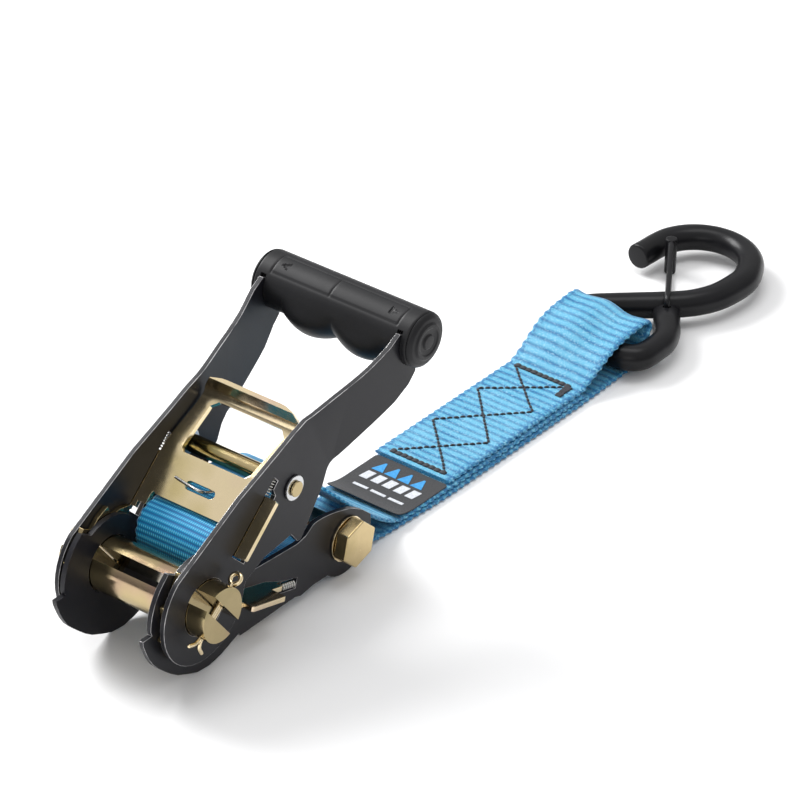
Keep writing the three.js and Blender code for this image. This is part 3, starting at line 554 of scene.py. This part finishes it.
def webbing():
    """One strip: middle layer, loop round the bolt, bottom layer, loop round the hook, top layer."""
    mid, top = LOW + LAYER, LOW + 2 * LAYER
    route = [
        (275, mid), (240, mid), (200, mid), (165, mid), (148, mid + 0.05), (142, mid + 0.5), (135, -29.4),
        (123, -21), (108.5, -9), (96, 3), (85, 12.4), (75, 16.2), (62, 18.3), (40, 19), (23, 18.5),
        (17.4, 14.5), (15.4, 7), (18, 0.4), (28, -2.4), (45, -5), (70, -12.6), (84, -20.4), (95.3, -25.7),
        (104, -28.3), (115, LOW + 2.7), (131, LOW + 0.25), (150, LOW), (200, LOW), (250, LOW), (277, LOW),
        (298, LOW + 0.1), (311, LOW + 0.3), (317, LOW + 1.9), (320.4, LOW + 6), (322.6, LOW + 11),
        (325.2, LOW + 14.2), (324.8, LOW + 16.8), (320, LOW + 17.8), (312.5, LOW + 17.4), (305, LOW + 16.5),
        (297.5, LOW + 14.6), (290.5, LOW + 11.4), (284.2, LOW + 8), (279.6, top + 1.9), (275.4, top + 0.1),
        (270, top), (250, top), (210, top), (177.2, top),
    ]
    _, length = curve_points(route, 10)
    rows = int(length / STEP)
    path, length = curve_points(route, rows)
    tangent = np.gradient(path, axis=0)
    tangent /= np.linalg.norm(tangent, axis=1)[:, None]
    normal = np.stack([-tangent[:, 1], tangent[:, 0]], 1)
    s = np.linspace(0, length, rows)
    x, z = path[:, 0], path[:, 1]
    turn_bolt = s[np.argmin(x)]
    turn_hook = s[np.argmax(x)]
    # sideways splay of the three sewn layers, gone by the time the strap reaches the ratchet
    middle = (s < turn_bolt)
    bottom = (s >= turn_bolt) & (s < turn_hook)
    fade = np.clip((x - 128) / 50, 0, 1)
    fade = fade * fade * (3 - 2 * fade)
    late = np.clip((x - 270) / 50, 0, 1)
    shift = np.where(middle, -0.9 * fade, np.where(bottom, -2.0 * fade * (1 - 0.7 * late), 0.35))
    columns = np.linspace(-1, 1, 47)
    rib = np.abs(np.sin(math.pi * s / RIB))
    verts, uvs, loop_shade_values = [], [], []
    # painted shade mask: 1 on the loop behind the spool, fading out by x = 118 mm
    inner = np.clip((118 - x) / 26, 0, 1)
    for face in (1, -1):
        for c in columns:
            y = c * HALF_WEB
            edge = max(0.0, (abs(c) - 0.93) / 0.07)
            flat = math.sqrt(max(0.0, 1 - edge * edge * 0.86))
            scallop = 0.42 * np.sin(2 * math.pi * s / RIB + (0 if c < 0 else 1.3)) * edge
            depth = THICK / 2 * flat - 0.2 * (1 - rib ** 0.6)
            off = face * depth
            # soft swells of the loop round the hook
            loop = np.clip((x - 278) / 20, 0, 1) * np.clip((s - turn_hook + 8) / 14, 0, 1)
            loop = loop * loop * (3 - 2 * loop)
            lift = loop * (1.6 * c + 0.55 * math.sin(5.2 * c + 0.6) + 0.75)
            nose = np.clip((x - 311) / 12, 0, 1) * (0.9 + 0.9 * math.sin(5.2 * c + 0.9))
            nose = nose * np.clip((s - turn_hook + 8) / 12, 0, 1)
            # the loose loop behind the spool bows a little between its edges
            bow = np.clip((110 - x) / 60, 0, 1) * (s < turn_bolt) * 0.5 * (1 - c * c)
            px = x + normal[:, 0] * off + nose
            pz = z + normal[:, 1] * off + lift + bow
            pz = np.maximum(pz, FLOOR + 0.12)
            py = y + shift + np.sign(c) * scallop
            for i in range(rows):
                verts.append(at(px[i], py[i], pz[i]))
                uvs.append((s[i] / 10, y / 10))
                loop_shade_values.append(inner[i])
    m = len(columns)
    faces = []
    base = m * rows
    for j in range(m - 1):
        for i in range(rows - 1):
            a, b = j * rows + i, (j + 1) * rows + i
            faces.append((a, a + 1, b + 1, b))
            faces.append((base + a, base + b, base + b + 1, base + a + 1))
    for i in range(rows - 1):
        a, b = i, (m - 1) * rows + i
        faces.append((a, base + a, base + a + 1, a + 1))
        faces.append((b, b + 1, base + b + 1, base + b))
    for j in range(m - 1):
        a, b = j * rows, (j + 1) * rows
        faces.append((a, b, base + b, base + a))
        a, b = a + rows - 1, b + rows - 1
        faces.append((a, base + a, base + b, b))
    obj = mesh_object("webbing_strip", verts, faces, WEBBING, uvs, smooth=70)
    # the depth attribute carries the painted loop shade to the material
    obj.data.attributes.new("depth", "FLOAT", "POINT").data.foreach_set("value", loop_shade_values)
    face_outward(obj)
    return obj, length


web, web_length = webbing()
STRAP_TOP = LOW + 2 * LAYER + THICK / 2             # upper face of the sewn stack, mm
MIDDLE_TOP = LOW + LAYER + THICK / 2                # upper face of the middle layer, mm


# stitching: dashes of black thread on the top layer
def stitch_lines():
    far = [(181, 15.2), (213, 16.4), (246.5, 17), (273.6, 16.6)]
    near = [(181, -14.8), (213, -14.2), (246, -13.6), (273.6, -13.8)]
    lines = [(far[0], near[0], 3), (far[3], near[3], 3), (near[3], (264, -14.2), 4), (near[3], (270, -13.9), 5)]
    for i in range(3):
        lines.append((far[i], near[i + 1], 1))
        lines.append((near[i], far[i + 1], 1))
    return lines


def stitching():
    verts, faces = [], []
    sides = 8

    def dash(p, q, lateral=0.0):
        p, q = np.array(p, float), np.array(q, float)
        d = (q - p) / np.linalg.norm(q - p)
        side = np.array([-d[1], d[0]])
        start = len(verts)
        profile = [(-0.5, 0.2), (-0.42, 0.46), (-0.25, 0.6), (0, 0.64), (0.25, 0.6), (0.42, 0.46), (0.5, 0.2)]
        size = np.linalg.norm(q - p)
        for t, r in profile:
            centre = (p + q) / 2 + d * t * size + side * lateral
            height = STRAP_TOP - 0.12 + 0.34 * (1 - (2 * t) ** 2)
            for k in range(sides):
                a = 2 * math.pi * k / sides
                verts.append(at(centre[0] + side[0] * r * math.cos(a), centre[1] + side[1] * r * math.cos(a),
                                height + r * 0.8 * math.sin(a)))
        faces.extend(skin(len(profile), sides, start))
        faces.append(tuple(start + k for k in reversed(range(sides))))
        last = start + (len(profile) - 1) * sides
        faces.append(tuple(last + k for k in range(sides)))

    for a, b, rows in stitch_lines():
        a, b = np.array(a, float), np.array(b, float)
        size = np.linalg.norm(b - a)
        count = max(2, int(round(size / 2.9)))
        for r in range(rows):
            for i in range(count):
                wobble = random.uniform(-0.12, 0.12)
                gap = 0.02 if rows > 1 else 0.08
                p = a + (b - a) * (i + gap) / count
                q = a + (b - a) * (i + 1 - gap + (0.14 if rows > 1 else 0.04)) / count
                dash(p, q, (r - (rows - 1) / 2) * 0.72 + wobble)
    return mesh_object("strap_stitching", verts, faces, BLACK_THREAD, smooth=60)


stitches = stitching()
place(stitches, "strap", "label_cloth")


# label: a thin woven patch on the middle layer, its ratchet end lifted a little
def label_height(x):
    lift = max(0.0, (154 - x) / 8)
    return MIDDLE_TOP + 0.12 + 0.95 * lift * lift


def label_point(x, y, level):
    return at(x, y - 0.9, label_height(x) + level + 0.12 * math.sin(y / 6))


def label_sheet():
    x0, x1, y0, y1 = 140.2, 176.2, -19.2, 19.8
    nx, ny, thick, corner = 34, 40, 0.5, 1.6
    verts, uvs, faces = [], [], []
    for layer in (1, 0):
        for i in range(nx + 1):
            for j in range(ny + 1):
                x = x0 + (x1 - x0) * i / nx
                y = y0 + (y1 - y0) * j / ny
                for cx, cy in ((x0, y0), (x0, y1), (x1, y0), (x1, y1)):
                    ix, iy = cx + corner * (1 if cx == x0 else -1), cy + corner * (1 if cy == y0 else -1)
                    if (x - ix) * (cx - ix) > 0 and (y - iy) * (cy - iy) > 0:
                        d = math.hypot(x - ix, y - iy)
                        if d > corner:
                            x, y = ix + (x - ix) / d * corner, iy + (y - iy) / d * corner
                verts.append(label_point(x, y, thick * layer))
                uvs.append((x / 10, y / 10))
    m = (nx + 1) * (ny + 1)
    for i in range(nx):
        for j in range(ny):
            a = i * (ny + 1) + j
            faces.append((a, a + ny + 1, a + ny + 2, a + 1))
            faces.append((m + a, m + a + 1, m + a + ny + 2, m + a + ny + 1))
    rim = [j for j in range(ny)] + [i * (ny + 1) + ny for i in range(nx)]
    rim += [nx * (ny + 1) + j for j in range(ny, 0, -1)] + [i * (ny + 1) for i in range(nx, 0, -1)]
    for a, b in zip(rim, rim[1:] + rim[:1]):
        faces.append((a, b, m + b, m + a))
    obj = mesh_object("label_patch", verts, faces, LABEL, uvs, smooth=50)
    return face_outward(obj)


label = label_sheet()
place(label, "strap", "label_cloth", "woven_label")


def motif(name, polygons, material):
    """Flat embroidered shapes standing just proud of the label, given in (x, y) mm."""
    verts, faces = [], []
    for poly in polygons:
        start, n = len(verts), len(poly)
        for level in (0.66, 0.42):
            for x, y in poly:
                verts.append(label_point(x, y, level))
        faces.append(tuple(range(start, start + n)))
        faces.append(tuple(reversed(range(start + n, start + 2 * n))))
        for i in range(n):
            j = (i + 1) % n
            faces.append((start + i, start + n + i, start + n + j, start + j))
    obj = mesh_object(name, verts, faces, material)
    face_outward(obj)
    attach(obj, "strap")
    return obj


# generic device: a row of blue peaks over two rows of plain pale bars
blue, pale = [], []
for i in range(4):
    c = 11.4 - i * 7.0
    blue.append([(165.4, c + 3.1), (165.4, c - 3.1), (172.4, c - 0.4), (172.4, c + 0.4)])
for i in range(5):
    c = 12.6 - i * 6.2
    pale.append([(157.2, c + 2.4), (157.2, c - 1.8), (163.4, c - 2.6), (163.4, c + 1.6)])
for i in range(3):
    c = 9.4 - i * 9.6
    pale.append([(150.4, c + 3.9), (150.4, c - 3.9), (152.2, c - 3.9), (152.2, c + 3.9)])
blue_motif = motif("label_motif_blue", blue, BLUE_THREAD)
pale_motif = motif("label_motif_pale", pale, PALE_THREAD)

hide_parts("ratchet_loop", "sewn_section", "hook_loop")
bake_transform(web)

# ---------------------------------------------------------------- hook and keeper
HOOK_Z = -35.65 + 9.2                               # height of the hook's rod, mm
EYE = (348.8, -13.1)                                # the keeper's hole in the hook's near arm, mm


def arc(x, y, radius, start, stop, step):
    """Points on an arc in plan, angles in degrees."""
    angles = [math.radians(a) for a in range(start, stop, step)]
    return [(x + radius * math.cos(a), y + radius * math.sin(a)) for a in angles]


# the rod's middle line in plan: near arm, round the strap's loop, shank, bow, point
HOOK_PLAN = [(352.4, -10.4), (346.4, -14.9), (341.4, -18.5), (334.6, -23.4), (327.6, -26.3), (320.5, -26.9)]
HOOK_PLAN += arc(314, -18.3, 8.5, 270, 179, -18)
HOOK_PLAN += [
    (305.5, -12), (305.5, -6), (305.5, 0), (305.5, 6), (306.4, 10.6), (308.8, 15), (312.6, 18.6), (317.4, 20.9),
    (322.8, 21.4), (327.8, 19.6), (332.2, 16.3), (336.4, 12.2), (340.9, 7.4), (347, 0.7), (353.2, -6),
    (359.6, -12.6), (366.6, -17.9), (375.6, -21.9), (386.4, -23.5), (397, -23.2),
]
HOOK_PLAN += arc(396, 2.2, 24, -62, 89, 15)
HOOK_PLAN += [(390, 26.6), (383.5, 27)]


def hook_radius(share):
    # the rod is thickest halfway round the bow
    return 6.1 + 0.45 * math.exp(-((share - 0.68) / 0.09) ** 2)


def flat_end(share):
    t = min(1.0, share / 0.055)
    return 0.55 + 0.45 * t * t * (3 - 2 * t)


def broad_end(share):
    t = min(1.0, share / 0.05)
    return 1.06 - 0.06 * t


hook = tube("coated_hook", [(x, y, HOOK_Z) for x, y in HOOK_PLAN], hook_radius, COATING, 300, 40, 0.2,
            wide=broad_end, high=flat_end)
bore = tube("bore_cutter", [(*EYE, HOOK_Z - 12), (*EYE, HOOK_Z), (*EYE, HOOK_Z + 12)], 1.95, COATING, 6, 28, 0.0)
cut_with(hook, bore, True)
place(hook, "hook", "black_coating", "s_hook")

KEEPER_END = (393.6, 16.2)                          # the keeper's roll, mm
LEG = 7.75                                          # height of the keeper's two legs from the rod's middle, mm


def keeper_point(t, h):
    # t runs from the hole to the roll
    return (EYE[0] + (KEEPER_END[0] - EYE[0]) * t, EYE[1] + (KEEPER_END[1] - EYE[1]) * t, HOOK_Z + h)


upper = [keeper_point(0, 1), keeper_point(0, 3), keeper_point(0, 5.8), keeper_point(0.03, 7.2),
         keeper_point(0.1, LEG), keeper_point(0.5, LEG), keeper_point(0.9, LEG), keeper_point(0.985, 6.9),
         keeper_point(1, 5), keeper_point(1, 0)]
lower = [(x, y, 2 * HOOK_Z - z) for x, y, z in upper[:-1]][::-1]
wire = tube("keeper_spring_wire", upper + lower, 1.3, COATING, 170, 18, 0.3)
place(wire, "keeper", "black_coating", "keeper_wire")


def lathe(name, profile, origin, axis, material, sides=48, smooth=40):
    """A turned piece: profile is (radius, distance along axis) in mm, starting and ending on the axis."""
    axis = Vector(axis).normalized()
    one = axis.orthogonal().normalized()
    two = axis.cross(one)
    verts, faces, rings = [], [], []
    for r, h in profile:
        ring = []
        for k in range(1 if r < 1e-6 else sides):
            a = 2 * math.pi * k / sides
            p = Vector(origin) + axis * h + (one * math.cos(a) + two * math.sin(a)) * r
            ring.append(len(verts))
            verts.append(at(*p))
        rings.append(ring)
    for a, b in zip(rings, rings[1:]):
        for k in range(sides):
            j = (k + 1) % sides
            if len(a) == 1 and len(b) == 1:
                continue
            if len(a) == 1:
                faces.append((a[0], b[k], b[j]))
            elif len(b) == 1:
                faces.append((a[k], b[0], a[j]))
            else:
                faces.append((a[k], b[k], b[j], a[j]))
    obj = mesh_object(name, verts, faces, material, smooth=smooth)
    return face_outward(obj)


def rounded(profile, radius=0.5, steps=4):
    """Rounds a profile's inner corners."""
    out = [profile[0]]
    for before, here, after in zip(profile, profile[1:], profile[2:]):
        p0, p, p1 = np.array(before, float), np.array(here, float), np.array(after, float)
        r = min(radius, 0.45 * np.linalg.norm(p - p0), 0.45 * np.linalg.norm(p1 - p))
        a = p + (p0 - p) / np.linalg.norm(p0 - p) * r
        b = p + (p1 - p) / np.linalg.norm(p1 - p) * r
        for k in range(steps + 1):
            t = k / steps
            out.append(tuple((1 - t) ** 2 * a + 2 * t * (1 - t) * p + t * t * b))
    return out + [profile[-1]]


sleeve = lathe("keeper_roll", rounded([(0, -9), (2.7, -9), (2.7, 9), (0, 9)], 0.7),
               (*KEEPER_END, HOOK_Z), (0, 0, 1), COATING, 32)
place(sleeve, "keeper", "black_coating", "keeper_sleeve")

# ---------------------------------------------------------------- grip
GRIP_REACH = 146.4                                  # spool axis to grip axis, mm
GRIP_HALF = 40.4                                    # half the moulded grip's length, mm
GX = GRIP_REACH * math.cos(math.radians(HANDLE_ANGLE))
GZ = GRIP_REACH * math.sin(math.radians(HANDLE_ANGLE))


def groove(value, centre, width):
    return np.exp(-((value - centre) / width) ** 2)


def grip_mesh():
    rows, sides = 210, 128
    ys = np.linspace(-GRIP_HALF, GRIP_HALF, rows)
    verts = []
    for y in ys:
        for k in range(sides):
            a = 2 * math.pi * k / sides
            r = 12.4
            # two finger bulges on the underside
            under = math.remainder(a - math.radians(-126), 2 * math.pi)
            cheek = math.exp(-(under / 0.78) ** 4)
            for centre in (12.2, -15.4):
                t = (y - centre) / 13.6
                if abs(t) < 1:
                    r += 4.5 * cheek * (math.cos(t * math.pi / 2) ** 0.9)
            # fine grooves round a panel on top
            top = math.remainder(a - math.radians(112), 2 * math.pi)
            panel = 0.0
            for edge in (-0.42, 0.42):
                if abs(y) < 33.5:
                    panel += 0.34 * groove(top, edge, 0.028)
            if abs(top) < 0.42:
                for line in (-33.5, 2.5, 33.5):
                    panel += 0.34 * groove(y, line, 0.36)
            r -= min(panel, 0.36)
            for end in (-1, 1):
                # small triangular recess near each end of the panel
                t = (end * y - 26.5) / 4.2
                if 0 < t < 1 and abs(top) < 0.16 * (1 - t):
                    r -= 0.55
            fillet = max(0.0, (abs(y) - 39.6) / 0.8)
            r -= 0.5 * fillet * fillet
            verts.append(at(GX + r * math.cos(a), y, GZ + r * math.sin(a)))
    faces = skin(rows, sides)
    faces.append(tuple(range(sides)))
    faces.append(tuple(reversed(range((rows - 1) * sides, rows * sides))))
    obj = mesh_object("moulded_grip", verts, faces, PLASTIC, smooth=48)
    face_outward(obj)
    # slits for the ends of the side plates, and the bore for the rod inside
    turn = Matrix.Rotation(-math.radians(HANDLE_ANGLE), 4, "Y")
    for side in (-1, 1):
        outline = [(120, -18), (139.6, -18), (141.6, -9.6), (149, -8.6), (154.4, -4.6), (154.4, 4.6),
                   (149, 8.6), (141.6, 9.6), (141.6, 13.5), (120, 13.5)]
        near_y, far_y = side * 34.75, side * 37.65
        cv, cf = [], []
        for y in (near_y, far_y):
            for u, v in outline:
                p = turn @ Vector((u, 0, v))
                cv.append(at(p.x, y, p.z))
        n = len(outline)
        cf.append(tuple(range(n)))
        cf.append(tuple(reversed(range(n, 2 * n))))
        for i in range(n):
            j = (i + 1) % n
            cf.append((i, n + i, n + j, j))
        cut_with(obj, face_outward(mesh_object("slit_cutter", cv, cf, PLASTIC)))
    cutter = lathe("bore_cutter", [(0, -50), (3.6, -50), (3.6, 50), (0, 50)], (GX, 0, GZ), (0, 1, 0), PLASTIC)
    return cut_with(obj, cutter)


grip = grip_mesh()
place(grip, "handle", "black_plastic", "grip")

CAP = [(0, 3.4), (3.0, 3.4), (3.5, 2.6), (5.9, 2.9), (6.3, 3.3), (7.9, 3.3), (8.4, 2.5), (10.2, 2.3), (11.6, 1.4),
       (12.25, 0.35), (0, 0.35)]
for side, name in SIDES:
    cap = lathe(f"grip_end_{name}", rounded(CAP, 0.4), (GX, side * GRIP_HALF, GZ), (0, side, 0), PLASTIC, 72)
    place(cap, "handle", "black_plastic", f"grip_cap_{name}")


# ---------------------------------------------------------------- springs and split pins
def along(angle, s, p, y):
    """A point on a pawl's line: s along it, p square to it and downward."""
    a = math.radians(angle)
    return (s * math.cos(a) + p * math.sin(a), y, s * math.sin(a) - p * math.cos(a))


def coil(angle, start, stop, y, p, radius, wire_radius, turns):
    points = []
    for i in range(turns * 10 + 1):
        a = 2 * math.pi * i / 10
        s = start + wire_radius + (stop - start - 2 * wire_radius) * i / (turns * 10)
        points.append(along(angle, s, p - radius * math.sin(a), y + radius * math.cos(a)))
    return points


def pawl_spring(name, node, body, angle, ends, y, p, radius, wire, rings):
    """A coil along a pawl's line, from the first of ends to its fixed end, the second."""
    start, stop = ends
    spring = tube(name, coil(angle, start, stop, y, p, radius, wire, 6), wire, SPRING_WIRE, rings, 10, 0.2)
    place(spring, body, "spring_steel", node)
    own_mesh(spring)


for side, name in SIDES:
    pawl_spring(f"pawl_coil_{name}", f"handle_pawl_spring_{name}", "handle",
                HANDLE_PAWL_ANGLE, (51.9, 59.7), side * 28, 2.1, 1.05, 0.25, 330)
    pawl_spring(f"base_coil_{name}", f"base_pawl_spring_{name}", "base",
                BASE_PAWL_ANGLE, (60.3, 69.7), side * 23, 7.2, 1.35, 0.4, 260)

ROD = (56.3, 30.2)                                  # the cross rod, mm


def torsion_points():
    a = math.radians(HANDLE_PAWL_ANGLE)
    rod_s = ROD[0] * math.cos(a) + ROD[1] * math.sin(a)
    rod_h = -ROD[0] * math.sin(a) + ROD[1] * math.cos(a)
    points = []
    for i in range(33):
        t = math.radians(100 + i * 45)
        points.append(along(HANDLE_PAWL_ANGLE, rod_s + 5 * math.cos(t), -(rod_h + 5 * math.sin(t)), -20.6 + i * 0.2))
    over = 0.1             # the tail lies this far over the pawl's line, mm
    for s, y, h in ((48, -4.5, rod_h + 8.4), (43.6, -1.2, over - 4.4), (42.7, -0.8, over - 1.4),
                    (42.4, 0.8, over + 0.1), (42.6, 4, over), (43.7, 13, over)):
        points.append(along(HANDLE_PAWL_ANGLE, s, -h, y))
    return points


torsion = tube("torsion_wire", torsion_points(), 0.65, SPRING_WIRE, 320, 14, 0.3)
place(torsion, "handle", "spring_steel", "pawl_torsion_spring")


def pin_points(side, pairs):
    a = math.radians(39)   # the split pins' lean
    return [(x * math.cos(a) - z * math.sin(a), side * 35 + dy, x * math.sin(a) + z * math.cos(a))
            for x, z, dy in pairs]


def joined(name, parts):
    """One object from several."""
    bm = bmesh.new()
    for part in parts:
        bm.from_mesh(part.data)
    mesh = bpy.data.meshes.new(name)
    bm.to_mesh(mesh)
    bm.free()
    mesh.materials.append(parts[0].data.materials[0])
    obj = bpy.data.objects.new(name, mesh)
    bpy.context.scene.collection.objects.link(obj)
    for part in parts:
        bpy.data.objects.remove(part, do_unlink=True)
    mesh.shade_smooth()
    return obj


for side, name in SIDES:
    legs = [
        tube("a", pin_points(side, [(13.4, 0.55, 0), (6, 0.84, 0), (-6, 0.84, 0), (-13.2, 0.8, 0), (-15.8, 2, 0),
                                    (-18, 4.8, 0)]), 0.86, YELLOW_ZINC, 40, 14, 0.5),
        tube("b", pin_points(side, [(13.4, -0.55, 0), (6, -0.84, 0), (-6, -0.84, 0), (-13.2, -0.8, 0),
                                    (-15.6, -2.4, 0), (-16.6, -6, 0)]), 0.86, YELLOW_ZINC, 40, 14, 0.5),
        tube("c", pin_points(side, [(13.3, 0, -0.6), (14.6, 0, -1.9), (16.4, 0, -2.3), (18.1, 0, -1), (18.1, 0, 1),
                                    (16.4, 0, 2.3), (14.6, 0, 1.9), (13.3, 0, 0.6)]), 0.95, YELLOW_ZINC, 44, 14, 0.5),
    ]
    place(joined(f"split_pin_wire_{name}", legs), "spool", "yellow_zinc", f"split_pin_{name}")

# ---------------------------------------------------------------- floor
bm = bmesh.new()
bmesh.ops.create_grid(bm, x_segments=2, y_segments=2, size=6)
floor_mesh = bpy.data.meshes.new("floor")
bm.to_mesh(floor_mesh)
bm.free()
floor = bpy.data.objects.new("floor", floor_mesh)
bpy.context.scene.collection.objects.link(floor)
floor.location.z = -0.0002
fn = Nodes("floor")
fn.set(color=fn.mix(fn.noise(3, 1, 0.4), (0.86, 0.86, 0.865, 1), (0.88, 0.88, 0.885, 1)), rough=0.9, spec=0.1)
floor_mesh.materials.append(fn.mat)
